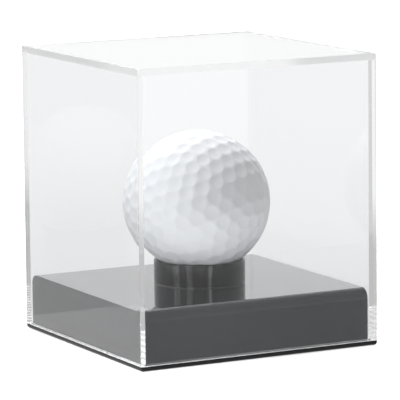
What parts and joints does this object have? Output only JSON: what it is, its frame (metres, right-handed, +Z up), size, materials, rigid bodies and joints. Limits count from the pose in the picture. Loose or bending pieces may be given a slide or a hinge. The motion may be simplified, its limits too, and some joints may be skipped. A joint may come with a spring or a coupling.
{
  "type": "golf ball display case",
  "caption": "Square display case: a clear lift-off cover on a thin black base with a raised platform, where a ring holds a dimpled golf ball.",
  "frame": {"origin": "middle of the base plate's underside, where the case rests", "axes": "+Z up, front wall towards -Y, +X to the right when seen from the front"},
  "size_m": [0.078, 0.078, 0.0868],
  "materials": {
    "clear_acrylic": "clear, polished",
    "black_acrylic": "glossy black",
    "ball_cover": "white, satin gloss",
    "ball_core": "matte"
  },
  "bodies": {
    "base": {"base_plate": "black_acrylic", "riser": "black_acrylic", "ball_ring": "black_acrylic"},
    "cover": {"cover_top_panel": "clear_acrylic", "cover_front_panel": "clear_acrylic", "cover_back_panel": "clear_acrylic", "cover_left_panel": "clear_acrylic", "cover_right_panel": "clear_acrylic"},
    "ball": {"golf_ball_cover": "ball_cover", "golf_ball_core": "ball_core"}
  },
  "joints": [
    {"name": "cover_lift", "type": "slide", "parent": "base", "child": "cover", "axis": [0, 0, 1], "range_m": [0, 0.1]},
    {"name": "ball_lift", "type": "slide", "parent": "base", "child": "ball", "axis": [0, 0, 1], "range_m": [0, 0.018]}
  ]
}
